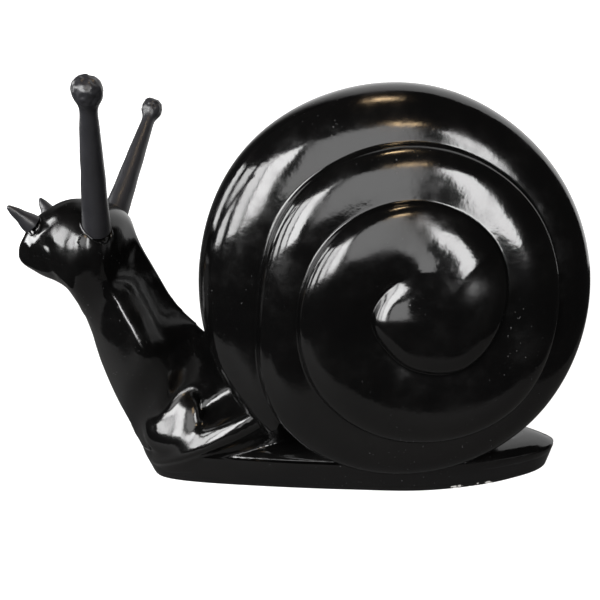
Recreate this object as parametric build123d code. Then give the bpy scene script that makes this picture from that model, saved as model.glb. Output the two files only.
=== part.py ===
"""Black lacquered snail ornament: a cast body, a coiled shell in two halves, set-in tentacles."""
import math
import os

from build123d import *

os.makedirs("parts", exist_ok=True)

# Frame: millimetres, +Z up, the head toward -X, y = 0 the plane of symmetry.
# The felt pads stand on z = 0. Lengths along X are counted from under the middle of the foot,
# and each piece is saved counted from under the middle of the whole length.
middle_x = -62.36

# General fits
slip = 0.3
end_gap = 0.5

# Spiral of the shell, seen from the left side: angle in degrees from +X towards +Z
coil_x = 38.0
coil_z = 208.0
step_degrees = 45
first_degrees = 90
lip_degrees = 945
turn_degrees = 360
last_degrees = lip_degrees + turn_degrees
# Distance of the groove from the coil axis at every step of the spiral
coil_radii = [
    48, 42, 44, 41, 50, 68, 80, 97,
    107, 110, 111, 122, 134, 147, 143, 150,
    157, 158, 149, 178, 186, 191, 192, 199,
    214, 221, 211, 210,
]
# Height of the groove above the middle plane, from the tip of the spiral out to the lip and the rim
groove_height_apex = 112.0
groove_height_lip = 56.0
groove_height_power = 1.3
rim_height = 11.0
rim_drop_degrees = 245
tip_rise = 9.0
tip_sink = 4.0
tip_fade_degrees = 90
tip_slope = 0.09
# Round of the whorls as shares of their width and of the step from one groove to the next
whorl_lean = 0.45
whorl_rise = -0.04
whorl_rise_tip = 0.20
whorl_side = 0.55
whorl_shoulder = 0.18
cap_top = 121.0
cap_shoulder = 0.10

# Shell halves: hollow, dowels across the joint, fixing from below
hollow_radius = 118.0
hollow_depth = 62.0
dowel_radius = 5.0
dowel_length = 44.0
dowel_reach = 150.0
dowel_angles = {"front": 165.0, "top": 75.0, "rear": 5.0}

# Foot: half widths of the sole along its length, at the ground
foot_half = [
    (-222, 18), (-178, 31), (-94, 44), (-15, 53), (61, 58.5), (129, 50), (182, 31), (208, 14),
]
toe_x = -234.0
tail_x = 220.0
end_stretch = 1.2
pad_stand = 0.5
sole_top = 36.0
mound_top = 42.0
sole_flare = 9.4
# Height and inset of the sole band and of the mound above it, from the bottom up
sole_levels = [(pad_stand, 1.6), (4.0, 0.0), (18.0, -5.5), (31.0, -sole_flare), (sole_top, -8.0)]
mound_levels = [(24.0, -2.0), (34.0, -3.0), (39.0, 3.0), (mound_top, 14.0)]

# Neck and head: front point, back point, half width and fullness of each section
# (fullness 2 is an ellipse, less gives the side a ridge)
neck_sections = [
    (-356, 249, -352, 268, 13, 2.2),
    (-346, 238, -341, 286, 25, 2.2),
    (-328, 229, -322, 302, 38, 2.2),
    (-308, 220, -297, 310, 50, 2.2),
    (-298, 206, -266, 306, 57, 2.2),
    (-294, 186, -245, 292, 52, 1.9),
    (-289, 156, -234, 268, 42, 1.6),
    (-279, 120, -220, 239, 35, 1.5),
    (-264, 80, -202, 205, 30, 1.45),
    (-249, 45, -178, 176, 25, 1.45),
    (-240, 21, -144, 150, 21, 1.5),
    (-237, 14, -94, 112, 20, 1.6),
]
neck_points = 16
neck_ridge = 0.54

# Mantle skirt: x, half width and height of its edge, and how far it rolls over, going back from the toe
skirt_edge = [
    (-241, 11, 37, 0), (-229, 24, 37, 0), (-216, 31, 37.5, 0), (-200, 37, 39, 0.1),
    (-186, 42, 47, 0.25), (-166, 47, 55.5, 0.45), (-140, 52.5, 64.5, 0.8), (-109, 57, 73, 1),
    (-76, 58, 90, 1),
]
skirt_top = 62.0
skirt_fade = 45.0
skirt_waist = 0.25
roll_width = 22.0
roll_height = 17.0
skirt_shares = (0, 0.12, 0.25, 0.4, 0.6, 0.78, 0.92)

# Eye stalks
stalk_foot = (-265.1, 48.1, 290.8)
stalk_knob = (-238.2, 130.6, 406.2)
stalk_base_radius = 13.0
stalk_collar = 4.0
stalk_mid_radius = 9.0
stalk_top_radius = 7.4
knob_radius = 13.2
knob_height = 11.5
stalk_spigot_radius = 8.0
stalk_spigot = 16.0
rod_radius = 3.0
rod_above = 96.0
rod_below = 30.0

# Feelers
feeler_foot = (-331.0, 28.0, 288.0)
feeler_tip = (-346.4, 40.7, 306.3)
feeler_base_radius = 9.0
feeler_collar = 2.0
feeler_tip_radius = 2.4
feeler_spigot_radius = 5.0
feeler_spigot = 9.0
pin_radius = 1.5
pin_above = 12.0
pin_below = 16.0

# Filler beads round the roots of the tentacles
bead_width = 4.5
bead_height = 3.2
boss_depth = 34.0
spot_height = 12.0

# Base plate, its screws, the felt pads
plate_inset = 13.0
plate_thick = 3.4
plate_rebate = 4.0
plate_gap = 0.4
screw_x = (-150.0, -20.0, 150.0)
screw_radius = 2.0
screw_head_radius = 4.0
screw_head_depth = 2.2
screw_length = 16.0
pad_radius = 8.0
pad_thick = 1.5
pad_places = ((-120, 15), (-120, -15), (110, 27), (110, -27))

# Bolts that hold the shell halves down on the foot
bolt_x = 46.0
bolt_y = 30.0
bolt_radius = 4.0
bolt_head_radius = 7.5
bolt_head_height = 5.5
washer_radius = 10.0
washer_thick = 2.0
bolt_pocket_top = 16.0
bolt_end = 66.0
insert_radius = 7.0
insert_length = 22.0


def save(shape, name):
    placed = Pos(-middle_x, 0, 0) * shape
    placed.label = name
    export_step(placed, f"parts/{name}.step")


# Spiral shell

def groove(angle):
    radius = coil_radii[round((angle - first_degrees) / step_degrees)]
    along = min(max((angle - first_degrees) / (lip_degrees - first_degrees), 0), 1)
    height = groove_height_apex + (groove_height_lip - groove_height_apex) * along**groove_height_power
    height += tip_rise * max(1 - (angle - first_degrees) / step_degrees, 0)
    height -= tip_sink * max(1 - (angle - first_degrees) / turn_degrees, 0)
    drop = min(max((angle - lip_degrees) / rim_drop_degrees, 0), 1)
    blend = drop * drop * (3 - 2 * drop)
    return radius, height * (1 - blend) + rim_height * blend


def whorl_low(angle):
    inner, height = groove(angle)
    width = groove(angle + turn_degrees)[0] - inner
    turn = min((angle - first_degrees) / turn_degrees, 1)
    rise = whorl_rise_tip + (whorl_rise - whorl_rise_tip) * turn
    if angle == first_degrees:
        rise = -tip_slope * whorl_lean
    return inner + whorl_lean * width, height + rise * width


def whorl_high(angle):
    inner, height = groove(angle)
    outer, foot = groove(angle + turn_degrees)
    return outer, foot + whorl_side * (height - foot) + whorl_shoulder * (outer - inner)


def place(radius, height, angle):
    turn = math.radians(angle)
    return Vector(coil_x + radius * math.cos(turn), -height, coil_z + radius * math.sin(turn))


def slope(row, angle, first, last):
    before = max(angle - step_degrees, first)
    after = min(angle + step_degrees, last)
    span = math.radians(after - before)
    radius = row(angle)[0]
    radius_rate = (row(after)[0] - row(before)[0]) / span
    height_rate = (row(after)[1] - row(before)[1]) / span
    turn = math.radians(angle)
    return Vector(
        radius_rate * math.cos(turn) - radius * math.sin(turn),
        -height_rate,
        radius_rate * math.sin(turn) + radius * math.cos(turn),
    )


def segment(row, angle, first, last):
    third = math.radians(step_degrees) / 3
    start = place(*row(angle), angle)
    end = place(*row(angle + step_degrees), angle + step_degrees)
    lead = slope(row, angle, first, last) * third
    trail = slope(row, angle + step_degrees, first, last) * third
    return [start, start + lead, end - trail, end]


def groove_segment(angle):
    return segment(groove, angle, first_degrees, last_degrees)


def whorl_profile(angle):
    rows = (groove(angle), whorl_low(angle), whorl_high(angle))
    return [place(*row, angle) for row in rows] + [place(*groove(angle + turn_degrees), angle)]


def cap_spoke(angle):
    radius, height = groove(angle)
    fade = min((angle - first_degrees) / tip_fade_degrees, 1)
    fade = fade * fade * (3 - 2 * fade)
    edge = height + whorl_side * (cap_top - height) + cap_shoulder * radius
    plain = height + tip_slope * radius / 3
    return [
        place(0, cap_top, angle),
        place(radius * (1 / 3 + 0.2 * fade), cap_top - 0.3 * (1 - fade), angle),
        place(radius * (2 / 3 + fade / 3), plain * (1 - fade) + edge * fade, angle),
        place(radius, height, angle),
    ]


def fan(here, there, before, beyond, rim):
    rows = [[here[0]] * 4]
    for k in (1, 2):
        lead = (there[k] - before[k]) / 6
        trail = (beyond[k] - here[k]) / 6
        rows.append([here[k], here[k] + lead, there[k] - trail, there[k]])
    rows.append(rim)
    return Face.make_bezier_surface(rows)


def cap_faces():
    last = first_degrees + turn_degrees - step_degrees
    spokes = {angle: cap_spoke(angle) for angle in range(first_degrees, last + 1, step_degrees)}
    first = spokes[first_degrees]
    second = spokes[first_degrees + step_degrees]
    spokes[first_degrees - step_degrees] = [here * 2 - there for here, there in zip(first, second)]
    spokes[last + step_degrees] = cap_spoke(last + step_degrees)
    faces = []
    for angle in range(first_degrees, last, step_degrees):
        here, there = spokes[angle], spokes[angle + step_degrees]
        before, beyond = spokes[angle - step_degrees], spokes[angle + 2 * step_degrees]
        faces.append(fan(here, there, before, beyond, groove_segment(angle)))
    # the last eighth of the cap runs out past the spiral's tip
    tip = first[3]
    end = spokes[last]
    reach = end[3] - tip
    seam = [end[3], end[2], tip + Vector(reach.X * 0.4, reach.Y * 0.05, reach.Z * 0.4), tip]
    faces.append(fan(end, first, spokes[last - step_degrees], second, seam))
    whorl = whorl_profile(first_degrees)
    third = math.radians(step_degrees) / 3
    rows = [[tip] * 4]
    for k, row in ((1, whorl_low), (2, whorl_high)):
        side = seam[3 - k]
        trail = slope(row, first_degrees, first_degrees, lip_degrees) * third
        rows.append([side, side + (whorl[k] - side) / 3, whorl[k] - trail, whorl[k]])
    rows.append(groove_segment(last))
    faces.append(Face.make_bezier_surface(rows))
    return faces


def shell_solid():
    faces = cap_faces()
    for angle in range(first_degrees, lip_degrees, step_degrees):
        net = [
            groove_segment(angle),
            segment(whorl_low, angle, first_degrees, lip_degrees),
            segment(whorl_high, angle, first_degrees, lip_degrees),
            groove_segment(angle + turn_degrees),
        ]
        faces.append(Face.make_bezier_surface(net))
    rim_edges = []
    for angle in range(lip_degrees, last_degrees, step_degrees):
        upper = groove_segment(angle)
        lower = [Vector(p.X, 0, p.Z) for p in upper]
        faces.append(Face.make_bezier_surface([upper, lower]))
        rim_edges.append(Edge.make_bezier(*lower))
    lip = whorl_profile(lip_degrees)
    inner, outer = lip[0], lip[3]
    root_inner = Vector(inner.X, 0, inner.Z)
    root_outer = Vector(outer.X, 0, outer.Z)
    root = Edge.make_line(root_outer, root_inner)
    faces.append(Face(Wire(rim_edges + [root])))
    lip_outer = Edge.make_line(outer, root_outer)
    lip_inner = Edge.make_line(root_inner, inner)
    faces.append(Face(Wire([Edge.make_bezier(*lip), lip_outer, root, lip_inner])))
    return Solid(Shell(faces))


# Foot, neck and head

def foot_outline(inset):
    widest = max(half for _, half in foot_half)
    share = 1 - inset / widest
    stretch = 1 - 2 * end_stretch * inset / (tail_x - toe_x)
    middle = (toe_x + tail_x) / 2

    def along(x):
        return middle + (x - middle) * stretch

    near = [(along(x), -half * share) for x, half in foot_half]
    far = [(x, -y) for x, y in reversed(near)]
    return Spline((along(toe_x), 0), *near, (along(tail_x), 0), *far, periodic=True)


def foot_slab(levels, grow):
    return loft([Pos(0, 0, z) * make_face(foot_outline(inset - grow)) for z, inset in levels])


def neck_section(front_x, front_z, back_x, back_z, half, fullness, grow):
    front = Vector(front_x, 0, front_z)
    back = Vector(back_x, 0, back_z)
    outward = (back - front).normalized() * grow
    front, back = front - outward, back + outward
    ring = []
    for k in range(neck_points):
        turn = 2 * math.pi * k / neck_points
        reach = math.cos(turn)
        along = neck_ridge + reach * (1 - neck_ridge if reach > 0 else neck_ridge)
        aside = math.sqrt(max(1 - abs(reach) ** fullness, 0)) * (half + grow)
        ring.append(front + (back - front) * along + Vector(0, math.copysign(aside, math.sin(turn)), 0))
    return make_face(Spline(*ring, periodic=True))


def neck_solid(grow):
    return loft([neck_section(*row, grow) for row in neck_sections])


def sole_half(x):
    for (x0, half0), (x1, half1) in zip(foot_half, foot_half[1:]):
        if x <= x1:
            return half0 + (half1 - half0) * (x - x0) / (x1 - x0) + sole_flare
    return sole_flare


def skirt_section(x, half, height, roll, grow):
    upper = []
    for share in skirt_shares:
        rise = share**1.5 * skirt_top
        waist = half * skirt_waist
        flare = waist + (half - waist) * math.exp(-rise / skirt_fade)
        turn = min(share * 2, 1) * math.pi / 2
        inward = max(share * 2 - 1, 0) * max(half - roll_width, 0)
        over = half - roll_width * (1 - math.cos(turn)) - inward
        lift = roll_height * math.sin(turn) + inward / 4
        out = flare * (1 - roll) + over * roll + grow
        up = height + rise * (1 - roll) + lift * roll + grow
        upper.append((out, up))
    crease = min(sole_half(x), half)
    gap = height - sole_top
    under = [
        (crease * 0.6, sole_top - 8 - grow),
        (crease - 1.5 + grow, sole_top - 2 - grow),
        (crease - 2 - 0.35 * gap + grow, sole_top - 1 + 0.3 * gap),
        (half - 2 - 0.25 * gap + grow, height - 0.35 * gap - grow),
    ]
    near = [Vector(x, -y, z) for y, z in under + upper]
    far = [Vector(p.X, -p.Y, p.Z) for p in reversed(near)]
    return make_face(Polyline(*near, *far, close=True))


def skirt_solid(grow):
    stations = [list(row) for row in skirt_edge]
    stations[-1][0] += grow
    return loft([skirt_section(*row, grow) for row in stations], ruled=True)


def seat_plane(root, tip, side):
    origin = Vector(root[0], side * root[1], root[2])
    toward = Vector(tip[0], side * tip[1], tip[2])
    return Plane(origin=origin, z_dir=toward - origin)


def on_axis(plane, radius, start, end):
    foot = Plane(plane.origin + plane.z_dir * start, z_dir=plane.z_dir)
    return extrude(foot * Circle(radius), amount=end - start)


def upright(x, y, radius, bottom, top):
    return Pos(x, y, bottom) * extrude(Circle(radius), amount=top - bottom)


sides = {"left": -1, "right": 1}

body = foot_slab(sole_levels, 0)
body += foot_slab(mound_levels, 0)
body += neck_solid(0)
body += skirt_solid(0)

roots = (
    (
        stalk_foot, stalk_knob, stalk_base_radius, stalk_spigot, stalk_spigot_radius,
        rod_radius, rod_below,
    ),
    (
        feeler_foot, feeler_tip, feeler_base_radius, feeler_spigot, feeler_spigot_radius,
        pin_radius, pin_below,
    ),
)
for side in sides.values():
    for root, tip, radius, spigot, hole, pin, below in roots:
        seat = seat_plane(root, tip, side)
        body -= on_axis(seat, radius + 2 * slip + bead_width, 0, spot_height)
        body += on_axis(seat, radius + slip + bead_width, -boss_depth * radius / stalk_base_radius, 0)
        body -= on_axis(seat, hole + slip, -spigot - end_gap, 1)
        body -= on_axis(seat, pin + slip, -below, -spigot)

plate_outline = make_face(foot_outline(plate_inset))
body -= extrude(Pos(0, 0, pad_stand) * plate_outline, amount=plate_rebate)
plate_top = pad_stand + plate_rebate
for x in screw_x:
    body -= upright(x, 0, screw_radius + slip, plate_top, plate_top + screw_length)
for side in sides.values():
    body -= upright(bolt_x, side * bolt_y, washer_radius + 1, plate_top, bolt_pocket_top)
    body -= upright(bolt_x, side * bolt_y, bolt_radius + slip, bolt_pocket_top, mound_top + 1)
save(body, "body")

# Base plate, screws and pads

plate_bottom = plate_top - plate_thick
plate_face = make_face(foot_outline(plate_inset + plate_gap))
plate = extrude(Pos(0, 0, plate_bottom) * plate_face, amount=plate_thick)
for x in screw_x:
    plate -= upright(x, 0, screw_radius + slip, 0, plate_top)
    plate -= upright(x, 0, screw_head_radius + slip, 0, plate_bottom + screw_head_depth)
for x, y in pad_places:
    plate -= upright(x, y, pad_radius + slip, 0, pad_thick)
save(plate, "base_plate")

for name, x in zip(("front", "middle", "rear"), screw_x):
    head_top = plate_bottom + screw_head_depth
    screw = upright(x, 0, screw_head_radius, plate_bottom, head_top)
    screw += upright(x, 0, screw_radius, head_top, plate_top + screw_length - end_gap)
    save(screw, f"base_screw_{name}")

pads = [upright(x, y, pad_radius, 0, pad_thick) for x, y in pad_places]
save(Compound(pads), "felt_pads")

# Shell halves and what joins them

coil = shell_solid()
coils = {"left": coil, "right": mirror(coil, about=Plane.XZ)}
shell_tools = [
    foot_slab([(sole_levels[0][0] - 5, sole_levels[0][1])] + sole_levels[1:], slip),
    foot_slab(mound_levels, slip),
    skirt_solid(slip),
    neck_solid(slip),
]
dowel_half = dowel_length / 2


def dowel_spot(angle):
    turn = math.radians(angle)
    return Pos(coil_x + dowel_reach * math.cos(turn), coil_z + dowel_reach * math.sin(turn))


for name, side in sides.items():
    half = coils[name]
    half -= extrude(Plane.XZ * Pos(coil_x, coil_z) * Circle(hollow_radius), amount=hollow_depth, both=True)
    for tool in shell_tools:
        half -= tool
    # what the mantle skirt cuts off below itself is left out
    half = max(half.solids(), key=lambda solid: solid.volume)
    for angle in dowel_angles.values():
        hole = Plane.XZ * dowel_spot(angle) * Circle(dowel_radius + slip)
        half -= extrude(hole, amount=dowel_half, both=True)
    half -= upright(bolt_x, side * bolt_y, insert_radius + slip, 0, mound_top + insert_length)
    half -= upright(bolt_x, side * bolt_y, bolt_radius + slip, 0, bolt_end + end_gap)
    save(half, f"shell_{name}")

for name, angle in dowel_angles.items():
    dowel = extrude(Plane.XZ * dowel_spot(angle) * Circle(dowel_radius), amount=dowel_half, both=True)
    save(dowel, f"shell_dowel_{name}")

for name, side in sides.items():
    y = side * bolt_y
    head_top = bolt_pocket_top - washer_thick
    bolt = extrude(RegularPolygon(bolt_head_radius, 6), amount=bolt_head_height)
    bolt = Pos(bolt_x, y, head_top - bolt_head_height) * bolt
    bolt += upright(bolt_x, y, bolt_radius, head_top, bolt_end)
    save(bolt, f"shell_bolt_{name}")
    washer = upright(bolt_x, y, washer_radius, head_top, bolt_pocket_top)
    washer -= upright(bolt_x, y, bolt_radius + slip, head_top, bolt_pocket_top)
    save(washer, f"shell_washer_{name}")
    insert = upright(bolt_x, y, insert_radius, mound_top, mound_top + insert_length)
    insert -= upright(bolt_x, y, bolt_radius + slip, mound_top, mound_top + insert_length)
    save(insert, f"shell_insert_{name}")

# Tentacles, their rods and the filler beads

stalk_length = math.dist(stalk_foot, stalk_knob)
feeler_length = math.dist(feeler_foot, feeler_tip)


def stalk_profile():
    knob_base = stalk_length - knob_height * 0.8
    side = Spline(
        (stalk_base_radius, stalk_collar),
        (stalk_mid_radius + 1, stalk_length * 0.35),
        (stalk_mid_radius - 0.6, stalk_length * 0.62),
        (stalk_top_radius, knob_base - 7),
        (knob_radius, stalk_length + 1),
        (knob_radius * 0.62, stalk_length + knob_height * 0.84),
        (0, stalk_length + knob_height),
        tangents=((-0.12, 1), (-1, 0)),
    )
    outline = Polyline(
        (0, stalk_length + knob_height), (0, -stalk_spigot), (stalk_spigot_radius, -stalk_spigot),
        (stalk_spigot_radius, 0), (stalk_base_radius, 0), (stalk_base_radius, stalk_collar),
    )
    return make_face(side + outline)


def feeler_profile():
    side = Spline(
        (feeler_base_radius, feeler_collar),
        (feeler_base_radius * 0.62, feeler_length * 0.5),
        (feeler_tip_radius, feeler_length - 1),
        (0, feeler_length + 1.4),
        tangents=((-0.35, 1), (-1, 0)),
    )
    outline = Polyline(
        (0, feeler_length + 1.4), (0, -feeler_spigot), (feeler_spigot_radius, -feeler_spigot),
        (feeler_spigot_radius, 0), (feeler_base_radius, 0), (feeler_base_radius, feeler_collar),
    )
    return make_face(side + outline)


def bead_profile(inner):
    outer = inner + bead_width
    arc = ThreePointArc((outer, 0), (inner + bead_width * 0.72, bead_height * 0.75), (inner, bead_height))
    return make_face(arc + Polyline((inner, bead_height), (inner, 0), (outer, 0)))


horns = (
    ("eye_stalk", stalk_foot, stalk_knob, stalk_profile, stalk_base_radius),
    ("feeler", feeler_foot, feeler_tip, feeler_profile, feeler_base_radius),
)
pins = {
    "eye_stalk": ("rod", rod_radius, rod_above, rod_below),
    "feeler": ("pin", pin_radius, pin_above, pin_below),
}
for name, side in sides.items():
    for kind, root, tip, profile, radius in horns:
        pin_name, pin, above, below = pins[kind]
        seat = seat_plane(root, tip, side)
        horn = seat.location * revolve(Plane.XZ * profile(), Axis.Z)
        horn -= on_axis(seat, pin + slip, -below, above)
        save(horn, f"{kind}_{name}")
        save(on_axis(seat, pin, -below, above - end_gap), f"{kind}_{pin_name}_{name}")
        bead = seat.location * revolve(Plane.XZ * bead_profile(radius + slip), Axis.Z)
        save(bead, f"{kind}_bead_{name}")
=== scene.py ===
"""Looks of a black lacquered snail ornament, dressed over its packed construction model."""
import math

import bmesh
import bpy
import numpy as np
from mathutils import Matrix, Vector, noise
from mathutils.bvhtree import BVHTree
from mathutils.kdtree import KDTree

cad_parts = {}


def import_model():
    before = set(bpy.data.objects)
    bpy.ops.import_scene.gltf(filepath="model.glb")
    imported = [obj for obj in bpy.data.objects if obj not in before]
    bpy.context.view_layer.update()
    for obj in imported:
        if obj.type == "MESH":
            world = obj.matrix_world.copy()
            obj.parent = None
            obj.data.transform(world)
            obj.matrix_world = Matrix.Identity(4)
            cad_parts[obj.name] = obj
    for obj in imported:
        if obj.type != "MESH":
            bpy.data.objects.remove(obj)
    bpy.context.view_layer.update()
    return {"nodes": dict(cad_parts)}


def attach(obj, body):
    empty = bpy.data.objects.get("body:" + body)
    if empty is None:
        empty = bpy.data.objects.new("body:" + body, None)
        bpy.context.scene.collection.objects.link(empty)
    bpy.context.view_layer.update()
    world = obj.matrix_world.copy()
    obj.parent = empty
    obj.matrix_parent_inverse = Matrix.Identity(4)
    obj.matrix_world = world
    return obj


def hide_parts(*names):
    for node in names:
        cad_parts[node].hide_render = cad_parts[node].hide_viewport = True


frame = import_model()

MM = 0.001
# x of the middle of the whole length, where the lengths below count from the middle of the foot
MIDDLE_X = -62.36
SIDES = {"left": -1, "right": 1}


def world(x, y, z):
    return Vector(((x - MIDDLE_X) * MM, y * MM, z * MM))


def fade(value, low, high):
    """0 up to `low`, 1 from `high` on, and smooth between."""
    share = np.clip((value - low) / (high - low), 0, 1)
    return share * share * (3 - 2 * share)


# Camera: where the photographer stood, from the lines through the paired stalks and feelers

CAMERA_SPOT = (-94.0, -627.0, 366.0)
CAMERA_AZIMUTH = -2.4917
CAMERA_ELEVATION = 14.753
CAMERA_LENS = 36.0
CAMERA_SENSOR = 36.0


def outward(azimuth, elevation):
    """Direction from the ornament in degrees; azimuth 0 is the camera's side, + is to the right."""
    turn, lift = math.radians(azimuth), math.radians(elevation)
    return Vector((math.sin(turn) * math.cos(lift), -math.cos(turn) * math.cos(lift), math.sin(lift)))


def set_up(name, data, spot, toward):
    """A camera or light at this spot, looking back along `toward`."""
    made = bpy.data.objects.new(name, data)
    made.location = spot
    made.rotation_mode = "QUATERNION"
    made.rotation_quaternion = (-toward).to_track_quat("-Z", "Y")
    bpy.context.scene.collection.objects.link(made)
    return made


def set_camera():
    data = bpy.data.cameras.new("camera")
    data.lens = CAMERA_LENS
    data.sensor_width = CAMERA_SENSOR
    toward = outward(CAMERA_AZIMUTH, CAMERA_ELEVATION)
    bpy.context.scene.camera = set_up("camera", data, world(*CAMERA_SPOT), toward)


# Shader maths

class Shade:
    """A socket in a material's node tree, with arithmetic that adds Math nodes."""

    def __init__(self, tree, socket):
        self.tree = tree
        self.socket = socket

    def math(self, operation, *others):
        values = dict(enumerate((self, *others)))
        return node(self.tree, "ShaderNodeMath", {"operation": operation}, values)

    def __add__(self, other):
        return self.math("ADD", other)

    def __radd__(self, other):
        return self.math("ADD", other)

    def __sub__(self, other):
        return self.math("SUBTRACT", other)

    def __rsub__(self, other):
        return node(self.tree, "ShaderNodeMath", {"operation": "SUBTRACT"}, {0: other, 1: self})

    def __mul__(self, other):
        return self.math("MULTIPLY", other)

    def __rmul__(self, other):
        return self.math("MULTIPLY", other)

    def step(self, low, high):
        values = {"Value": self, "From Min": low, "From Max": high}
        return node(self.tree, "ShaderNodeMapRange", {"interpolation_type": "SMOOTHSTEP"}, values)


# sockets that have no name of their own: Texture Coordinate's Object, and the Mix node's colours
OBJECT_PLACE = 3
MIX_FIRST, MIX_SECOND, MIX_RESULT = 6, 7, 2


def node(tree, kind, settings=None, values=None, out=0):
    made = tree.nodes.new(kind)
    for name, value in (settings or {}).items():
        setattr(made, name, value)
    for name, value in (values or {}).items():
        socket = made.inputs[name]
        if isinstance(value, Shade):
            tree.links.new(value.socket, socket)
        else:
            socket.default_value = value
    return Shade(tree, made.outputs[out]) if made.outputs else None


def material(name):
    made = bpy.data.materials.new(name)
    made.use_nodes = True
    tree = made.node_tree
    tree.nodes.clear()
    place = node(tree, "ShaderNodeTexCoord", out=OBJECT_PLACE)
    return made, tree, place


def finish_material(tree, values, bump=None):
    """Closes the material; `bump` is a height, its strength and its depth in metres."""
    values = dict(values)
    if bump is not None:
        height, strength, distance = bump
        values["Normal"] = node(
            tree, "ShaderNodeBump", None, {"Strength": strength, "Distance": distance, "Height": height}
        )
    surface = node(tree, "ShaderNodeBsdfPrincipled", None, values)
    node(tree, "ShaderNodeOutputMaterial", None, {"Surface": surface})


def cloud(tree, place, scale, detail=2.0, roughness=0.5):
    return node(
        tree, "ShaderNodeTexNoise", None,
        {"Vector": place, "Scale": scale, "Detail": detail, "Roughness": roughness},
    )


def mix(tree, factor, first, second):
    return node(
        tree, "ShaderNodeMix", {"data_type": "RGBA"},
        {"Factor": factor, MIX_FIRST: first, MIX_SECOND: second}, MIX_RESULT,
    )


LACQUER_SHINE = 0.5
LACQUER_BLACK = (0.0008, 0.0008, 0.0009, 1)
LACQUER_SMEARED = (0.0022, 0.0021, 0.0020, 1)
DUST_GREY = (0.030, 0.030, 0.031, 1)
PRIMER_GREY = (0.42, 0.41, 0.39, 1)
# where the sole's lower edge is chipped: fades in and out along the length and up, in metres
CHIPS_START = (0.140, 0.160)
CHIPS_END = (0.205, 0.222)
CHIPS_TOP = (0.004, 0.0095)
SATIN_BLACK = (0.0085, 0.0085, 0.0100, 1)
SATIN_SMEARED = (0.0160, 0.0160, 0.0185, 1)


def black_lacquer(name, chipped=False):
    """Brushed-on black gloss: slow waves, orange peel, dull smears and a few dust specks."""
    made, tree, place = material(name)
    wave = cloud(tree, place, scale=16.0)
    peel = cloud(tree, place, scale=210.0)
    smear = cloud(tree, place, scale=24.0, detail=4.0, roughness=0.62)
    speck = cloud(tree, place, scale=420.0, detail=1.0).step(0.74, 0.80)
    dust = speck * cloud(tree, place, scale=9.0).step(0.48, 0.62)
    rough = 0.10 + 0.13 * smear.step(0.40, 0.72) + 0.3 * dust
    tint = mix(tree, smear, LACQUER_BLACK, LACQUER_SMEARED)
    tint = mix(tree, dust, tint, DUST_GREY)
    height = wave * 0.9 + peel * 0.06 + dust * 0.05
    if chipped:
        spot = node(tree, "ShaderNodeSeparateXYZ", None, {0: place}).socket.node
        along, up = Shade(tree, spot.outputs["X"]), Shade(tree, spot.outputs["Z"])
        worn = along.step(*CHIPS_START) * (1 - along.step(*CHIPS_END)) * (1 - up.step(*CHIPS_TOP))
        flake = cloud(tree, place, scale=130.0, detail=3.0, roughness=0.6)
        chip = (worn * flake).step(0.47, 0.53)
        tint = mix(tree, chip, tint, PRIMER_GREY)
        rough = rough * (1 - chip) + 0.6 * chip
        height = height - chip * 0.2
    finish_material(
        tree,
        {"Base Color": tint, "Roughness": rough, "Specular IOR Level": LACQUER_SHINE},
        (height, 0.55, 0.0022),
    )
    return made


def satin_lacquer():
    """Thinner, duller black on the tentacles, with grit under it."""
    made, tree, place = material("satin_lacquer")
    smear = cloud(tree, place, scale=60.0, detail=4.0, roughness=0.6)
    grit = cloud(tree, place, scale=480.0)
    tint = mix(tree, smear, SATIN_BLACK, SATIN_SMEARED)
    finish_material(
        tree,
        {"Base Color": tint, "Roughness": 0.30 + 0.14 * smear, "Specular IOR Level": LACQUER_SHINE},
        (smear * 0.4 + grit * 0.10, 0.6, 0.0012),
    )
    return made


def hidden_finish(name, light, dark, metal, rough, scale, stretch):
    """Grained or brushed finish of a piece inside or under the ornament."""
    made, tree, place = material(name)
    drawn_out = tuple(scale * part for part in stretch)
    grain = node(tree, "ShaderNodeMapping", None, {"Vector": place, "Scale": drawn_out})
    streak = cloud(tree, grain, scale=1.0, detail=4.0, roughness=0.6)
    tint = mix(tree, streak.step(0.3, 0.7), (*dark, 1), (*light, 1))
    finish_material(
        tree,
        {"Base Color": tint, "Metallic": metal, "Roughness": rough + 0.15 * streak},
        (streak, 0.4, 0.0004),
    )
    return made


HIDDEN_PIECES = {
    "steel": ("eye_stalk_rod_left", "eye_stalk_rod_right", "feeler_pin_left", "feeler_pin_right",
              "shell_bolt_left", "shell_bolt_right", "shell_washer_left", "shell_washer_right",
              "base_screw_front", "base_screw_middle", "base_screw_rear"),
    "brass": ("shell_insert_left", "shell_insert_right"),
    "dowel_wood": ("shell_dowel_front", "shell_dowel_top", "shell_dowel_rear"),
    "board": ("base_plate",),
    "felt": ("felt_pads",),
}
# name, light and dark tone, metal, roughness, grain per metre and how the grain is drawn out
HIDDEN_FINISHES = {
    "steel": ("turned_steel", (0.55, 0.56, 0.58), (0.38, 0.39, 0.41), 1.0, 0.25, 900, (1, 1, 6)),
    "brass": ("turned_brass", (0.72, 0.52, 0.22), (0.52, 0.35, 0.13), 1.0, 0.25, 900, (1, 1, 6)),
    "dowel_wood": ("beech", (0.62, 0.42, 0.25), (0.45, 0.27, 0.14), 0.0, 0.55, 600, (1, 0.08, 1)),
    "board": ("fibreboard", (0.25, 0.17, 0.10), (0.16, 0.10, 0.06), 0.0, 0.7, 700, (1, 1, 1)),
    "felt": ("dark_felt", (0.05, 0.06, 0.05), (0.02, 0.025, 0.02), 0.0, 0.85, 1600, (1, 1, 1)),
}


def dress_hidden():
    for kind, recipe in HIDDEN_FINISHES.items():
        finish = hidden_finish(*recipe)
        for name in HIDDEN_PIECES[kind]:
            for slot in frame["nodes"][name].material_slots:
                slot.material = finish


# Meshes

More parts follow.
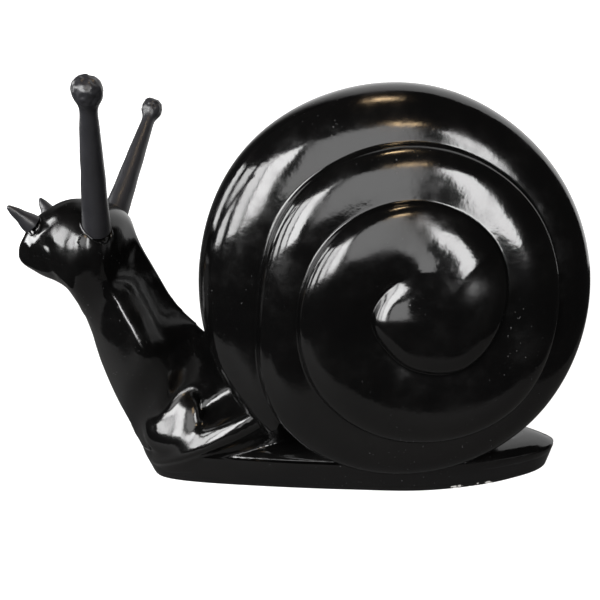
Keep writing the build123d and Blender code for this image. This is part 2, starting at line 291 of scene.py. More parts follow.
def in_scene(name, mesh):
    data = bpy.data.meshes.new(name)
    mesh.to_mesh(data)
    mesh.free()
    made = bpy.data.objects.new(name, data)
    bpy.context.scene.collection.objects.link(made)
    return made


def piece(name, mesh, finish, slot, *nodes):
    made = in_scene(name, mesh)
    made.data.materials.append(finish)
    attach(made, "root")
    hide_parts(*nodes)


# how far a vertex moves in one pass, and the length in mm below which edges pull alike
RELAX_SHARE = 0.6
SHORTEST_EDGE = 0.05


def relax(mesh, share, passes):
    """Smooth each vertex by its share (0 stays, 1 moves), short edges pulling hardest."""
    mesh.verts.index_update()
    spots = np.array([vert.co for vert in mesh.verts])
    ends = np.array([(edge.verts[0].index, edge.verts[1].index) for edge in mesh.edges])
    lengths = np.linalg.norm(spots[ends[:, 0]] - spots[ends[:, 1]], axis=1)
    pull = 1 / np.maximum(lengths, SHORTEST_EDGE * MM)
    count = len(spots)
    total = np.bincount(ends[:, 0], pull, count) + np.bincount(ends[:, 1], pull, count)
    for _ in range(passes):
        moved = np.empty_like(spots)
        for k in range(3):
            one = np.bincount(ends[:, 0], pull * spots[ends[:, 1], k], count)
            other = np.bincount(ends[:, 1], pull * spots[ends[:, 0], k], count)
            moved[:, k] = (one + other) / total
        spots += (moved - spots) * (RELAX_SHARE * share)[:, None]
    for vert, spot in zip(mesh.verts, spots):
        vert.co = spot


def shade_smooth(mesh, crease=None):
    """Smooth shading; with a crease angle, edges bent that far or more stay sharp."""
    for face in mesh.faces:
        face.smooth = True
    if crease:
        for edge in mesh.edges:
            edge.smooth = edge.calc_face_angle(0) < crease


def skin_rings(mesh, rings, closed=False):
    """Faces between rings of vertices, with both ends capped unless the last ring joins the first."""
    count = len(rings[0])
    for low, high in zip(rings, rings[1:] + (rings[:1] if closed else [])):
        for j in range(count):
            k = (j + 1) % count
            mesh.faces.new((low[j], low[k], high[k], high[j]))
    if not closed:
        mesh.faces.new(list(reversed(rings[0])))
        mesh.faces.new(rings[-1])


# Shell: the same spiral as the construction model, in fine steps

# middle of the coil in mm
COIL_X = 38.0
COIL_Z = 208.0
# degrees: a full turn, the step, and where the spiral starts, opens in the lip and ends
TURN = 360
COIL_STEP = 45
COIL_FIRST = 90
COIL_LIP = 945
COIL_LAST = COIL_LIP + TURN
# the groove's distance from the coil's middle, at each step
COIL_RADII = [
    48, 42, 44, 41, 50, 68, 80, 97,
    107, 110, 111, 122, 134, 147, 143, 150,
    157, 158, 149, 178, 186, 191, 192, 199,
    214, 221, 211, 210,
]
# the groove's height over the joint of the halves, at the tip and at the lip, and how it falls between
GROOVE_APEX = 112.0
GROOVE_LIP = 56.0
GROOVE_POWER = 1.3
# the edge past the lip: height, and degrees over which it comes down to it
RIM = 11.0
RIM_SPAN = 245.0
# roundness of a whorl, in shares of its width and height
WHORL_LEAN = 0.45
WHORL_RISE_TIP = 0.20
WHORL_RISE = -0.04
WHORL_SIDE = 0.55
WHORL_SHOULDER = 0.18
# the cap over the first turn and the dome that it starts from
CAP_TOP = 121.0
CAP_SHOULDER = 0.10
CAP_LEAN = 0.2
CAP_DIP = 0.3
DOME_LEAN = 0.42
DOME_SIDE = 0.72
DOME_EDGE = 0.97
# at the spiral's tip: how much lower the groove is, degrees over which it sets in, slope before that
TIP_SINK = 4.0
TIP_FADE = 90.0
TIP_SLOPE = 0.09


def groove(angle):
    if angle == COIL_FIRST:
        return tuple(dome_halves()[0][3])
    return plain_groove(angle)


def plain_groove(angle):
    radius = COIL_RADII[round((angle - COIL_FIRST) / COIL_STEP)]
    along = min(max((angle - COIL_FIRST) / (COIL_LIP - COIL_FIRST), 0), 1)
    height = GROOVE_APEX + (GROOVE_LIP - GROOVE_APEX) * along**GROOVE_POWER
    height -= TIP_SINK * max(1 - (angle - COIL_FIRST) / TURN, 0)
    blend = fade(angle, COIL_LIP, COIL_LIP + RIM_SPAN)
    return radius, height * (1 - blend) + RIM * blend


def dome_curve():
    """The spiral starts on one dome, from the coil's middle out to the first groove."""
    rim, foot = plain_groove(COIL_FIRST + TURN)
    side = foot + DOME_SIDE * (CAP_TOP - foot)
    return np.array([(0, CAP_TOP), (DOME_LEAN * rim, CAP_TOP), (DOME_EDGE * rim, side), (rim, foot)])


def tip_share():
    """How far along the dome's curve the spiral's tip sits."""
    fine = np.linspace(0, 1, TIP_STEPS)
    return np.interp(COIL_RADII[0], weights(fine).T @ dome_curve()[:, 0], fine)


def dome_halves():
    """The dome's curve cut in two at the spiral's tip."""
    curve, share = dome_curve(), tip_share()
    one = curve[:-1] + (curve[1:] - curve[:-1]) * share
    two = one[:-1] + (one[1:] - one[:-1]) * share
    three = two[0] + (two[1] - two[0]) * share
    return np.array([curve[0], one[0], two[0], three]), np.array([three, two[1], one[2], curve[3]])


def whorl_low(angle):
    if angle == COIL_FIRST:
        return tuple(dome_halves()[1][1])
    inner, height = groove(angle)
    width = groove(angle + TURN)[0] - inner
    turn = min((angle - COIL_FIRST) / TURN, 1)
    rise = WHORL_RISE_TIP + (WHORL_RISE - WHORL_RISE_TIP) * turn
    return inner + WHORL_LEAN * width, height + rise * width


def whorl_high(angle):
    if angle == COIL_FIRST:
        return tuple(dome_halves()[1][2])
    inner, height = groove(angle)
    outer, foot = groove(angle + TURN)
    return outer, foot + WHORL_SIDE * (height - foot) + WHORL_SHOULDER * (outer - inner)


def on_coil(radius, height, angle):
    turn = math.radians(angle)
    return np.array((COIL_X + radius * math.cos(turn), -height, COIL_Z + radius * math.sin(turn)))


def coil_slope(row, angle, first, last):
    """Direction of a row of control points along the coil, per radian."""
    before, after = max(angle - COIL_STEP, first), min(angle + COIL_STEP, last)
    span = math.radians(after - before)
    radius = row(angle)[0]
    radius_rate = (row(after)[0] - row(before)[0]) / span
    height_rate = (row(after)[1] - row(before)[1]) / span
    turn = math.radians(angle)
    return np.array((
        radius_rate * math.cos(turn) - radius * math.sin(turn),
        -height_rate,
        radius_rate * math.sin(turn) + radius * math.cos(turn),
    ))


def coil_segment(row, angle, first, last):
    """One step of a row along the coil, as a cubic curve."""
    third = math.radians(COIL_STEP) / 3
    start = on_coil(*row(angle), angle)
    end = on_coil(*row(angle + COIL_STEP), angle + COIL_STEP)
    lead = coil_slope(row, angle, first, last) * third
    trail = coil_slope(row, angle + COIL_STEP, first, last) * third
    return np.array([start, start + lead, end - trail, end])


def groove_segment(angle):
    return coil_segment(groove, angle, COIL_FIRST, COIL_LAST)


# shares across a whorl, close together beside the grooves
NEAR_GROOVE = np.arange(0, 0.04, 0.0065)
ACROSS = np.concatenate([NEAR_GROOVE, np.linspace(0.05, 0.95, 25), 1 - NEAR_GROOVE[::-1]])
ALONG = np.linspace(0, 1, 33)
# shares from the rim down to the joint of the halves
DOWN = np.linspace(1, 0, 9)
# steps in which the dome's curve is searched for the spiral's tip
TIP_STEPS = 2001


def weights(t):
    """Share of each control point of a cubic curve at t."""
    return np.stack([(1 - t) ** 3, 3 * t * (1 - t) ** 2, 3 * t * t * (1 - t), t**3])


def patch(net):
    return np.einsum("iu,ijk,jv->uvk", weights(ACROSS), np.array(net), weights(ALONG))


def down_to_joint(line):
    return np.stack([line * (1, share, 1) for share in DOWN])


def cap_spoke(angle):
    """From the top of the cap to the groove; the groove fades in from the spiral's tip."""
    if angle == COIL_FIRST:
        return np.array([on_coil(*point, angle) for point in dome_halves()[0]])
    if angle == COIL_FIRST + TURN:
        return np.array([on_coil(*point, angle) for point in dome_curve()])
    radius, height = groove(angle)
    deep = float(fade(angle - COIL_FIRST, 0, TIP_FADE))
    edge = height + WHORL_SIDE * (CAP_TOP - height) + CAP_SHOULDER * radius
    plain = height + TIP_SLOPE * radius / 3
    lean = radius * (2 / 3 + deep / 3)
    return np.array([
        on_coil(0, CAP_TOP, angle),
        on_coil(radius * (1 / 3 + CAP_LEAN * deep), CAP_TOP - CAP_DIP * (1 - deep), angle),
        on_coil(lean, plain * (1 - deep) + edge * deep, angle),
        on_coil(radius, height, angle),
    ])


def shell_patches():
    grids = []
    for angle in range(COIL_FIRST, COIL_LIP, COIL_STEP):
        net = [
            groove_segment(angle),
            coil_segment(whorl_low, angle, COIL_FIRST, COIL_LIP),
            coil_segment(whorl_high, angle, COIL_FIRST, COIL_LIP),
            groove_segment(angle + TURN),
        ]
        grids.append(patch(net))
    for angle in range(COIL_FIRST, COIL_FIRST + TURN, COIL_STEP):
        grids.append(cap_patch(angle))
    for angle in range(COIL_LIP, COIL_LAST, COIL_STEP):
        grids.append(down_to_joint(weights(ALONG).T @ groove_segment(angle)))
    lip = weights(ACROSS).T @ np.array([
        on_coil(*groove(COIL_LIP), COIL_LIP),
        on_coil(*whorl_low(COIL_LIP), COIL_LIP),
        on_coil(*whorl_high(COIL_LIP), COIL_LIP),
        on_coil(*groove(COIL_LAST), COIL_LAST),
    ])
    grids.append(down_to_joint(lip))
    return grids


def cap_net(here, there, before, beyond, rim):
    """Control net of the cap between two spokes, with smooth joins to the spokes before and beyond."""
    rows = [np.array([here[0]] * 4)]
    for k in (1, 2):
        lead = (there[k] - before[k]) / 6
        trail = (beyond[k] - here[k]) / 6
        rows.append(np.array([here[k], here[k] + lead, there[k] - trail, there[k]]))
    rows.append(rim)
    return np.array(rows)


def cap_patch(angle):
    here, there = cap_spoke(angle), cap_spoke(angle + COIL_STEP)
    before = cap_spoke(angle - COIL_STEP) if angle > COIL_FIRST else 2 * here - there
    rim = groove_segment(angle)
    if angle + COIL_STEP < COIL_FIRST + TURN:
        return patch(cap_net(here, there, before, cap_spoke(angle + 2 * COIL_STEP), rim))
    # the last one ends on the whole dome curve, in the steps of the two patches that meet it there
    net = cap_net(here, there, before, 2 * there - here, rim)
    cut = tip_share()
    split = np.concatenate([cut * ACROSS, cut + (1 - cut) * ACROSS[1:]])
    doubled = np.repeat(ACROSS, 2)[: len(split)]
    lines = []
    for share in ALONG:
        spoke = np.einsum("ijk,j->ik", net, weights(share))
        lines.append(weights(doubled * (1 - share) + split * share).T @ spoke)
    return np.stack(lines, axis=1)


def grid_faces(mesh, grid):
    rows = [[mesh.verts.new(world(*point)) for point in line] for line in grid]
    for i in range(len(rows) - 1):
        for j in range(len(rows[0]) - 1):
            mesh.faces.new((rows[i][j], rows[i + 1][j], rows[i + 1][j + 1], rows[i][j + 1]))


GROOVE_STEPS = 180


def groove_reach(mesh, first, last):
    """Each vertex's distance in mm from the groove between these angles, on either side of the shell."""
    line = []
    for angle in range(COIL_FIRST, COIL_LAST, COIL_STEP):
        segment = weights(np.linspace(0, 1, GROOVE_STEPS)).T @ groove_segment(angle)
        shares = np.linspace(angle, angle + COIL_STEP, GROOVE_STEPS)
        line += [point for point, at in zip(segment, shares) if first <= at <= last]
    tree = KDTree(2 * len(line))
    for k, point in enumerate(line):
        tree.insert(world(*point), 2 * k)
        tree.insert(world(*(point * (1, -1, 1))), 2 * k + 1)
    tree.balance()
    return np.array([tree.find(vert.co)[2] for vert in mesh.verts]) / MM


# rounding of the groove: reach in mm and passes of smoothing
GROOVE_FILLET = 3.0
FILLET_PASSES = 24
# the groove only counts as one from this angle on
TIP_FREE = 128.0
# smoothed round the spiral's tip: degrees and mm round the coil's middle, mm kept off the groove
SEAM_OPENS, SEAM_CLOSES = (20, 60), (100, 140)
SEAM_END = (88, 102)
MIDDLE_END = (14, 30)
SEAM_CLEAR = (3, 14)
SEAM_PASSES = 200
SHELL_CREASE = math.radians(34)
# mm within which points are welded, and below which slivers go
WELD_REACH = 0.02
SLIVER = 0.01


def shell_skin(finish):
    mesh = bmesh.new()
    for grid in shell_patches():
        grid_faces(mesh, grid)
        grid_faces(mesh, grid * (1, -1, 1))
    bmesh.ops.remove_doubles(mesh, verts=mesh.verts, dist=WELD_REACH * MM)
    bmesh.ops.dissolve_degenerate(mesh, edges=mesh.edges, dist=SLIVER * MM)
    spots = np.array([vert.co for vert in mesh.verts]) / MM - np.array((COIL_X - MIDDLE_X, 0, COIL_Z))
    from_middle = np.hypot(spots[:, 0], spots[:, 2])
    around = np.degrees(np.arctan2(spots[:, 2], spots[:, 0]))
    true_groove = groove_reach(mesh, TIP_FREE, COIL_LIP)
    seam = fade(around, *SEAM_OPENS) * (1 - fade(around, *SEAM_CLOSES))
    seam *= 1 - fade(from_middle, *SEAM_END)
    middle = 1 - fade(from_middle, *MIDDLE_END)
    relax(mesh, np.maximum(seam, middle) * fade(true_groove, *SEAM_CLEAR), SEAM_PASSES)
    relax(mesh, 1 - fade(true_groove, GROOVE_FILLET, 2 * GROOVE_FILLET), FILLET_PASSES)
    bmesh.ops.recalc_face_normals(mesh, faces=mesh.faces)
    shade_smooth(mesh, SHELL_CREASE)
    piece("shell_skin", mesh, finish, "lacquer", "shell_left", "shell_right")


# Body: foot, neck, head and mantle, lofted and then melted together

# x, half width and how far the top of the foot rolls out over the sole's edge
FOOT_HALF = [
    (-222, 18, 0), (-178, 31, 0), (-94, 44, 0), (-15, 53, 0),
    (61, 58.5, 2), (129, 50, 5), (182, 33, 4), (212, 17, 3),
]
TOE_X = -234.0
TAIL_X = 224.0
# length gained at both ends for each mm of flare, and the share of it at the blunt tail
END_STRETCH = 2.4
SOLE_TAIL = 0.5
MOUND_TAIL = 1.2
# share of its height that the foot loses towards the tail, and where
TAIL_DROOP = 0.17
DROOP_SPAN = (110, 236)
# height and inset of the sole band, and of the mound over it
SOLE_LEVELS = [(0.5, 1.6), (3.0, 0.0), (14.0, -4.0), (24.0, -7.4), (31.0, -9.2), (35.5, -9.9)]
MOUND_LEVELS = [(24.0, -2.0), (34.0, -4.0), (39.0, 1.0), (43.0, 9.0), (45.0, 20.0)]
# flat swelling on the shoulder: middle of its face, the way it faces, half sizes, roundness, and the
# mm round it that are smoothed into the neck
SHOULDER_SPOT = (-210.0, 27.0, 74.0)
SHOULDER_FACING = (-0.25, 0.86, 0.44)
SHOULDER_SIZE = (34.0, 36.0, 11.0)
SHOULDER_ROUND = 0.7
SHOULDER_BLEND = (30, 58)
SHOULDER_PASSES = 70
# the swelling's rings end just short of a quarter turn, where they would shrink to nothing
PAD_END = 1.5
PAD_RINGS, PAD_SIDES = 17, 64
# front x, front z, back x, back z, half width, fullness before and behind the side ridge (2 is an
# ellipse, less is sharper) and where the ridge sits; the last rows flare to the mantle's edge and
# turn in under it
NECK_SECTIONS = [
    (-356, 249, -352, 268, 13, 2.2, 2.2, 0.54),
    (-346, 238, -341, 286, 25, 2.2, 2.2, 0.54),
    (-328, 229, -322, 302, 38, 2.2, 2.2, 0.54),
    (-308, 220, -297, 310, 52, 2.3, 2.4, 0.54),
    (-298, 206, -266, 306, 61, 2.4, 2.6, 0.55),
    (-294, 186, -245, 292, 53.5, 1.9, 2.0, 0.56),
    (-290, 156, -234, 268, 45, 1.6, 1.35, 0.59),
    (-282, 120, -220, 239, 44.5, 1.5, 1.3, 0.60),
    (-268, 80, -202, 205, 44, 1.5, 1.3, 0.60),
    (-257, 52, -179, 178, 31, 1.3, 1.2, 0.57),
    (-247, 34, -150, 150, 22, 2.0, 0.8, 0.30),
    (-241, 25, -112, 126, 34, 2.0, 0.55, 0.30),
    (-239.5, 21, -66, 116, 44, 2.4, 2.0, 0.50),
    (-239, 20, -66, 104, 47, 2.5, 2.0, 0.50),
    (-238, 17, -64, 94, 47, 2.5, 2.0, 0.52),
    (-237, 12, -66, 76, 40, 2.4, 2.0, 0.54),
    (-234, 6, -70, 34, 36, 2.2, 2.0, 0.54),
]
NECK_SIDES = 192
# power of an ellipse's side, and what each step of fullness below one adds to it
ROUND_POWER = 0.5
RIDGE_POWER = 0.75
# steps between the rows of each list
MOUND_STEPS, SOLE_STEPS, NECK_STEPS, FOOT_STEPS = 4, 6, 20, 10


def smooth_rows(rows, steps):
    """The rows and the steps between them, on a smooth curve."""
    rows = np.array(rows, float)
    out = []
    for k in range(len(rows) - 1):
        a, b = rows[k], rows[k + 1]
        before, beyond = rows[max(k - 1, 0)], rows[min(k + 2, len(rows) - 1)]
        lead, trail = (b - before) / 2, (beyond - a) / 2
        for t in np.linspace(0, 1, steps, endpoint=k == len(rows) - 2):
            s = t * t * (3 - 2 * t)
            out.append(a + (b - a) * s + lead * (t - 2 * t**2 + t**3) + trail * (t**3 - t**2))
    return np.array(out)


def neck_ring(front_x, front_z, back_x, back_z, half, before, behind, ridge):
    """A leaning section of the neck or head; the side ridge is its widest place."""
    front, back = np.array((front_x, 0, front_z)), np.array((back_x, 0, back_z))
    turn = np.linspace(0, 2 * math.pi, NECK_SIDES, endpoint=False)
    reach = np.cos(turn)
    along = ridge + reach * np.where(reach > 0, 1 - ridge, ridge)
    fullness = np.where(reach > 0, behind, before)
    power = ROUND_POWER + RIDGE_POWER * np.maximum(2 - fullness, 0)
    aside = np.sign(np.sin(turn)) * np.maximum(1 - np.abs(reach) ** fullness, 0) ** power
    return front + np.outer(along, back - front) + np.outer(aside, (0, half, 0))


def foot_ring(inset, z, tail_share, roll):
    """Outline of the foot at this height, drawn in by `inset`, with or without the rolled edge."""
    widest = max(half for _, half, _ in FOOT_HALF)
    share = 1 - inset / widest
    middle = (TOE_X + TAIL_X) / 2
    stretch = 1 - END_STRETCH * inset / (TAIL_X - TOE_X)

    def along(x):
        return middle + (x - middle) * (1 + (stretch - 1) * (tail_share if x > middle else 1))

    near = [(along(x), -half * share - bead * roll) for x, half, bead in FOOT_HALF]
    far = [(x, -y) for x, y in reversed(near)]
    ring = [(along(TOE_X), 0)] + near + [(along(TAIL_X), 0)] + far
    closed = np.array(ring[-2:] + ring + ring[:3], float)
    line = smooth_rows(closed, FOOT_STEPS)[2 * FOOT_STEPS:-2 * FOOT_STEPS]
    droop = 1 - TAIL_DROOP * fade(line[:, 0], *DROOP_SPAN)
    return np.column_stack([line, z * droop])


def blunt(reach):
    return math.copysign(abs(reach) ** SHOULDER_ROUND, reach)


def shoulder_pad(side):
    """The flat swelling low on the neck, before the mantle's edge."""
    mirror = Vector((1, side, 1))
    out = (Vector(SHOULDER_FACING) * mirror).normalized()
    up = (Vector((0, 0, 1)) - out * out.z).normalized()
    across = up.cross(out)
    wide, tall, deep = SHOULDER_SIZE
    heart = Vector(SHOULDER_SPOT) * mirror - out * deep
    rings = []
    for lift in np.linspace(-PAD_END, PAD_END, PAD_RINGS):
        share = math.cos(lift) ** SHOULDER_ROUND
        ring = []
        for turn in np.linspace(0, 2 * math.pi, PAD_SIDES, endpoint=False):
            u, v = blunt(math.cos(turn)), blunt(math.sin(turn))
            spot = heart + across * (wide * share * u) + up * (tall * share * v)
            ring.append(spot + out * (deep * math.sin(lift)))
        rings.append(ring)
    return rings


def loft_faces(mesh, rings):
    loops = [[mesh.verts.new(world(*point)) for point in ring] for ring in rings]
    skin_rings(mesh, loops)


def drop(thing):
    data = thing.data
    bpy.data.objects.remove(thing)
    bpy.data.meshes.remove(data)


def shaped(thing):
    """The object's mesh with its modifiers applied; the object itself goes."""
    result = bmesh.new()
    applied = thing.evaluated_get(bpy.context.evaluated_depsgraph_get())
    result.from_mesh(applied.to_mesh())
    applied.to_mesh_clear()
    drop(thing)
    return result


def join(first, second):
    """The two closed meshes as one, with nothing left inside."""
    one, other = in_scene("first", first), in_scene("second", second)
    union = one.modifiers.new("union", "BOOLEAN")
    union.operation = "UNION"
    union.solver = "MANIFOLD"
    union.object = other
    joined = shaped(one)
    drop(other)
    return joined


def melt(mesh, voxel, passes):
    lump = in_scene("lump", mesh)
    remesh = lump.modifiers.new("remesh", "REMESH")
    remesh.mode = "VOXEL"
    remesh.voxel_size = voxel * MM
    soften = lump.modifiers.new("soften", "SMOOTH")
    soften.factor = MELT_SOFTNESS
    soften.iterations = passes
    return shaped(lump)


def rumple(mesh, height, size, share):
    """Push the surface in and out by smooth noise, as hand-smoothed filler is never quite even."""
    mesh.normal_update()
    for vert, part in zip(mesh.verts, share):
        if part > 0:
            vert.co += vert.normal * (noise.noise(vert.co / (size * MM)) * height * MM * part)


# mouth crease: its level with a slight wave, where it runs and fades out, depth and width
MOUTH_HEIGHT = 254.5
MOUTH_WAVE, MOUTH_WAVE_LENGTH = 1.5, 9.0
MOUTH_OPENS, MOUTH_CLOSES = (-338.0, -332.0), (-308.0, -286.0)
MOUTH_DEPTH = 1.1
MOUTH_WIDTH = 1.9


def cut_mouth(mesh):
    mesh.normal_update()
    for vert in mesh.verts:
        x = vert.co.x / MM + MIDDLE_X
        line = MOUTH_HEIGHT + MOUTH_WAVE * math.sin(x / MOUTH_WAVE_LENGTH)
        ends = float(fade(x, *MOUTH_OPENS) * (1 - fade(x, *MOUTH_CLOSES)))
        depth = MOUTH_DEPTH * ends * math.exp(-(((vert.co.z / MM - line) / MOUTH_WIDTH) ** 2))
        vert.co -= vert.normal * (depth * MM)


MELT_VOXEL = 1.3
MELT_SOFTNESS = 0.5
MELT_PASSES = 2
# height over which the smoothing of the neck and head sets in
ABOVE_SOLE = (46, 58)
NECK_PASSES = 40
# height and size of the unevenness, everywhere and on the head, and x over which the head's ends
NECK_RUMPLE = (0.3, 34.0)
HEAD_RUMPLE = (1.3, 15.0)
HEAD_END = (-306, -276)
BODY_CREASE = math.radians(40)


def body_skin(finish):
    mesh = bmesh.new()
    mound = smooth_rows(MOUND_LEVELS, MOUND_STEPS)
    loft_faces(mesh, [foot_ring(inset, z, MOUND_TAIL, 1) for z, inset in mound])
    loft_faces(mesh, [neck_ring(*row) for row in smooth_rows(NECK_SECTIONS, NECK_STEPS)])
    for side in SIDES.values():
        loft_faces(mesh, shoulder_pad(side))
    melted = melt(mesh, MELT_VOXEL, MELT_PASSES)
    spots = np.array([vert.co for vert in melted.verts]) / MM + np.array((MIDDLE_X, 0, 0))
    above_sole = fade(spots[:, 2], *ABOVE_SOLE)
    relax(melted, above_sole, NECK_PASSES)
    one_side = np.column_stack([spots[:, 0], np.abs(spots[:, 1]), spots[:, 2]])
    from_swelling = np.linalg.norm(one_side - np.array(SHOULDER_SPOT), axis=1)
    relax(melted, 1 - fade(from_swelling, *SHOULDER_BLEND), SHOULDER_PASSES)
    rumple(melted, *NECK_RUMPLE, above_sole)
    rumple(melted, *HEAD_RUMPLE, 1 - fade(spots[:, 0], *HEAD_END))
    cut_mouth(melted)
    surface = BVHTree.FromBMesh(melted)
    sole = bmesh.new()
    band = smooth_rows(SOLE_LEVELS, SOLE_STEPS)
    loft_faces(sole, [foot_ring(inset, z, SOLE_TAIL, 0) for z, inset in band])
    bmesh.ops.recalc_face_normals(sole, faces=sole.faces)
    bmesh.ops.triangulate(sole, faces=sole.faces)
    joined = join(melted, sole)
    shade_smooth(joined, BODY_CREASE)
    piece("body_skin", joined, finish, "lacquer", "body")
    return surface


# Tentacles; the two stalks were set one by one and don't quite match

# profiles: radius, share of the length and mm added to it
STALK_PROFILE = [
    (13.1, 0, -8), (12.7, 0, 6), (11.4, 0.25, 0), (9.8, 0.5, 0), (8.2, 0.74, 0), (7.3, 1, -22),
    (8.2, 1, -15), (11.0, 1, -8), (11.9, 1, -1.5), (10.8, 1, 4), (6.8, 1, 7.6), (0.4, 1, 8.6),
]
FEELER_PROFILE = [
    (10.0, 0, 0), (9.2, 0, 4), (7.0, 0.42, 0), (4.9, 0.72, 0), (3.2, 1, -3), (2.0, 1, 0), (0.3, 1, 1.2),
]
STALK_STEPS, FEELER_STEPS = 10, 8
TURNED_SIDES = 80
# height and size of their unevenness, and where the knob's grit sets in, in mm from its end
STALK_RUMPLE = (0.5, 22.0)
KNOB_RUMPLE = (1.1, 4.2)
FEELER_RUMPLE = (0.6, 9.0)
KNOB_START, KNOB_FULL = 14, 2
STALK_FOOT = {"left": (-263.0, 48.1, 290.8), "right": (-268.5, 48.1, 290.8)}
STALK_KNOB = (-237.0, 130.6, 406.2)
FEELER_FOOT = (-331.0, 28.0, 288.0)
FEELER_TIP = (-346.4, 40.7, 306.3)


def axis_frame(root, tip, side):
    origin = world(root[0], side * root[1], root[2])
    toward = world(tip[0], side * tip[1], tip[2]) - origin
    turn = toward.to_track_quat("Z", "X").to_matrix().to_4x4()
    return Matrix.Translation(origin) @ turn


def turned(profile, place):
    mesh = bmesh.new()
    rings = []
    for radius, height in profile:
        ring = []
        for k in range(TURNED_SIDES):
            turn = 2 * math.pi * k / TURNED_SIDES
            spot = Vector((radius * math.cos(turn), radius * math.sin(turn), height))
            ring.append(mesh.verts.new(spot * MM))
        rings.append(ring)
    skin_rings(mesh, rings)
    bmesh.ops.transform(mesh, matrix=place, verts=mesh.verts)
    shade_smooth(mesh)
    return mesh


def profile_rows(profile, length, steps):
    return smooth_rows([(radius, length * share + extra) for radius, share, extra in profile], steps)


def eye_stalk(name, finish):
    foot = STALK_FOOT[name]
    length = math.dist(foot, STALK_KNOB)
    place = axis_frame(foot, STALK_KNOB, SIDES[name])
    mesh = turned(profile_rows(STALK_PROFILE, length, STALK_STEPS), place)
    upright = place.inverted()
    heights = np.array([(upright @ vert.co).z / MM for vert in mesh.verts])
    knob = fade(heights, length - KNOB_START, length - KNOB_FULL)
    rumple(mesh, *STALK_RUMPLE, np.ones(len(mesh.verts)))
    rumple(mesh, *KNOB_RUMPLE, knob)
    piece(f"eye_stalk_skin_{name}", mesh, finish, "lacquer", f"eye_stalk_{name}")


def feeler(name, finish):
    length = math.dist(FEELER_FOOT, FEELER_TIP)
    place = axis_frame(FEELER_FOOT, FEELER_TIP, SIDES[name])
    mesh = turned(profile_rows(FEELER_PROFILE, length, FEELER_STEPS), place)
    rumple(mesh, *FEELER_RUMPLE, np.ones(len(mesh.verts)))
    piece(f"feeler_skin_{name}", mesh, finish, "lacquer", f"feeler_{name}")


def tube(mesh, line, radii, outs, closed):
    """A bead of putty along a line; `outs` points away from the surface it sits on."""
    rings = []
    total = len(line)
    for k, (spot, radius, out) in enumerate(zip(line, radii, outs)):
        before = line[k - 1] if closed or k else line[k]
        after = line[(k + 1) % total] if closed or k < total - 1 else line[k]
        ahead = (after - before).normalized()
        aside = out.cross(ahead).normalized()
        up = ahead.cross(aside)
        ring = []
        for j in range(BEAD_SIDES):
            turn = 2 * math.pi * j / BEAD_SIDES
            ring.append(mesh.verts.new(spot + (aside * math.cos(turn) + up * math.sin(turn)) * radius))
        rings.append(ring)
    skin_rings(mesh, rings, closed)


PUTTY_DRIP = [
    (-271, -62, 287), (-274.5, -62, 283), (-278, -62, 277), (-277, -62, 272), (-272.5, -60, 267),
]
BEAD_STEPS, BEAD_SIDES = 90, 12
DRIP_STEPS = 10
# how far above and below its root the head's surface is looked for
BEAD_REACH = 26.0
# share by which a bead's thickness varies and over what length
BEAD_UNEVEN, BEAD_UNEVEN_SIZE = 0.45, 5.5
# radius round the tentacle's root and thickness of the bead
STALK_BEAD = (13.2, 1.5)
FEELER_BEAD = (8.6, 1.3)
# the drip's half width in mm, how much of it comes and goes, how fast, and how blunt its ends are
DRIP_HALF, DRIP_UNEVEN, DRIP_WAVE, DRIP_TAPER = 1.0, 0.5, 0.9, 0.4
# steps by which its taper runs on past both ends
DRIP_END = 0.6


def drip_width(step, count):
    """Half width of the drip in metres: uneven, and drawn out at both ends, but never to nothing."""
    along = (step + DRIP_END) / (count - 1 + 2 * DRIP_END)
    taper = math.sin(math.pi * along) ** DRIP_TAPER
    return (DRIP_HALF + DRIP_UNEVEN * math.sin(step * DRIP_WAVE)) * MM * taper


def putty_bead(name, kind, root, tip, radius, thick, surface, finish, drip=()):
    """Putty pressed round a tentacle's root by finger, following the head's surface."""
    place = axis_frame(root, tip, SIDES[name])
    axis = (place.to_3x3() @ Vector((0, 0, 1))).normalized()
    line, radii, outs = [], [], []
    for k in range(BEAD_STEPS):
        turn = 2 * math.pi * k / BEAD_STEPS
        rim = place @ (Vector((math.cos(turn), math.sin(turn), 0)) * radius * MM)
        hit, normal, _, _ = surface.ray_cast(rim + axis * BEAD_REACH * MM, -axis, 2 * BEAD_REACH * MM)
        line.append(hit if hit else rim - axis * BEAD_REACH * MM)
        outs.append(normal if normal else axis)
        uneven = BEAD_UNEVEN * thick * noise.noise(rim / (BEAD_UNEVEN_SIZE * MM))
        radii.append((thick + uneven) * MM)
    mesh = bmesh.new()
    tube(mesh, line, radii, outs, closed=True)
    if drip:
        ends = smooth_rows(drip, DRIP_STEPS)
        near = [surface.find_nearest(world(*spot)) for spot in ends]
        width = [drip_width(k, len(near)) for k in range(len(near))]
        tube(mesh, [found[0] for found in near], width, [found[1] for found in near], closed=False)
    bmesh.ops.recalc_face_normals(mesh, faces=mesh.faces)
    shade_smooth(mesh)
    piece(f"{kind}_putty_{name}", mesh, finish, "filler", f"{kind}_bead_{name}")


# Stage and light

SHELL_HEART = world(COIL_X, 0, COIL_Z)


def plate(name, finish, corners):
    data = bpy.data.meshes.new(name)
    data.from_pydata(corners, [], [(0, 1, 2, 3)])
    data.materials.append(finish)
    made = bpy.data.objects.new(name, data)
    bpy.context.scene.collection.objects.link(made)
    return made


MATT = 0.7


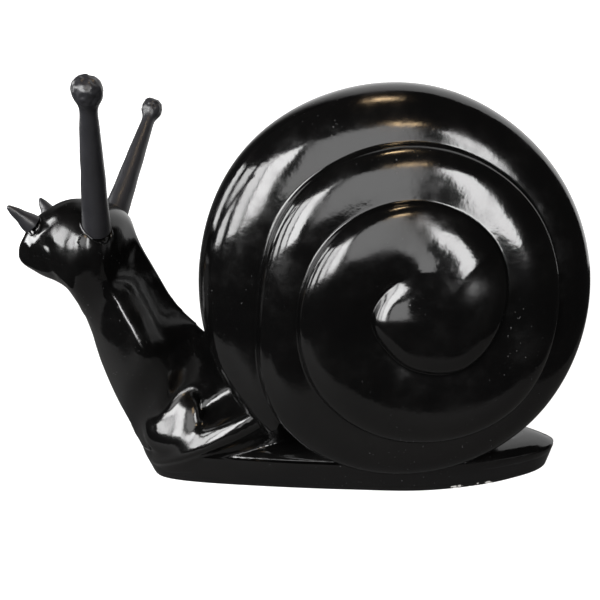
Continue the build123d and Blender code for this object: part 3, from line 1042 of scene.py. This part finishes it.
def lit_white(name, grey, mirrored, camera_white, glow=None):
    """White to the camera, with light and shadow on it. The lacquer mirrored a dark room, so reflections
    see `mirrored` in place of `grey`, and white only where x has passed `glow`."""
    made, tree, place = material(name)
    path = node(tree, "ShaderNodeLightPath").socket.node
    seen = Shade(tree, path.outputs["Is Camera Ray"])
    shiny = Shade(tree, path.outputs["Is Glossy Ray"])
    through = Shade(tree, path.outputs["Is Transmission Ray"])
    level = seen * camera_white + through * camera_white
    if glow:
        level = level + shiny * node(tree, "ShaderNodeSeparateXYZ", None, {0: place}).step(*glow)
    tone = node(tree, "ShaderNodeCombineColor", None, {0: level, 1: level, 2: level})
    shade = grey - shiny * (grey - mirrored)
    ground = node(tree, "ShaderNodeCombineColor", None, {0: shade, 1: shade, 2: shade})
    finish_material(
        tree,
        {"Base Color": ground, "Roughness": MATT, "Emission Color": tone, "Emission Strength": 1.0},
    )
    return made


FLOOR_CORNERS = [(-0.32, -0.31, 0), (0.42, -0.31, 0), (1.6, 1.3, 0), (-1.2, 1.3, 0)]
BACKDROP_CORNERS = [(-2, 1.3, 0), (3, 1.3, 0), (3, 1.3, 4.5), (-2, 1.3, 4.5)]
ROOM_DARK = 0.02


def set_stage():
    floor_white = lit_white("pale_floor", grey=0.36, mirrored=0.08, camera_white=0.88)
    wall_white = lit_white(
        "white_backdrop", grey=0.5, mirrored=0.02, camera_white=1.0, glow=(-0.9, 0.1),
    )
    floor = plate("floor", floor_white, FLOOR_CORNERS)
    backdrop = plate("backdrop", wall_white, BACKDROP_CORNERS)
    room = bpy.data.worlds.new("room")
    room.use_nodes = True
    tree = room.node_tree
    tree.nodes.clear()
    # white to the camera, nearly dark in reflections and as a light
    seen = node(tree, "ShaderNodeLightPath", out="Is Camera Ray")
    strength = ROOM_DARK + seen * (1 - ROOM_DARK)
    glow = node(tree, "ShaderNodeBackground", None, {"Color": (1, 1, 1, 1), "Strength": strength})
    node(tree, "ShaderNodeOutputWorld", None, {"Surface": glow})
    bpy.context.scene.world = room


WHITE = (1, 1, 1)
AMBER = (1.0, 0.72, 0.42)
# azimuth and elevation in degrees, distance in metres, width and height in degrees, glow and colour
LIGHTS = {
    "window_end": (-97, 19, 1.8, 12, 30, 10, WHITE),
    "window_far_left": (-72, 19, 1.8, 14, 30, 12, WHITE),
    "window_left": (-51, 19, 1.8, 13, 30, 15, WHITE),
    "window_inner": (-34, 19, 1.8, 15, 30, 19, WHITE),
    "window_middle": (-4, 19, 1.8, 28, 29, 3.6, WHITE),
    "window_right": (25, 15, 1.8, 11, 30, 17, WHITE),
    "lamp_high": (8, 80, 1.6, 8, 5, 30, AMBER),
    "lamp_low": (9, 36, 1.6, 8, 4, 20, AMBER),
}


def soft_light(name, azimuth, elevation, distance, width, height, glow, colour):
    """A soft light that looks this large from the shell."""
    data = bpy.data.lights.new(name, "AREA")
    data.shape = "RECTANGLE"
    data.size = 2 * distance * math.tan(math.radians(width / 2))
    data.size_y = 2 * distance * math.tan(math.radians(height / 2))
    data.energy = glow * math.pi * data.size * data.size_y
    data.color = colour
    toward = outward(azimuth, elevation)
    set_up(name, data, SHELL_HEART + toward * distance, toward)


set_camera()
dress_hidden()
shell_skin(black_lacquer("shell_lacquer"))
body_lacquer = black_lacquer("body_lacquer", chipped=True)
head_surface = body_skin(body_lacquer)
tentacle_lacquer = satin_lacquer()
for side_name in SIDES:
    eye_stalk(side_name, tentacle_lacquer)
    feeler(side_name, tentacle_lacquer)
    putty_bead(
        side_name, "eye_stalk", STALK_FOOT[side_name], STALK_KNOB, *STALK_BEAD,
        head_surface, body_lacquer, PUTTY_DRIP if side_name == "left" else (),
    )
    putty_bead(side_name, "feeler", FEELER_FOOT, FEELER_TIP, *FEELER_BEAD, head_surface, body_lacquer)
set_stage()
for light_name, light in LIGHTS.items():
    soft_light(light_name, *light)
bpy.context.scene.view_settings.view_transform = "Standard"
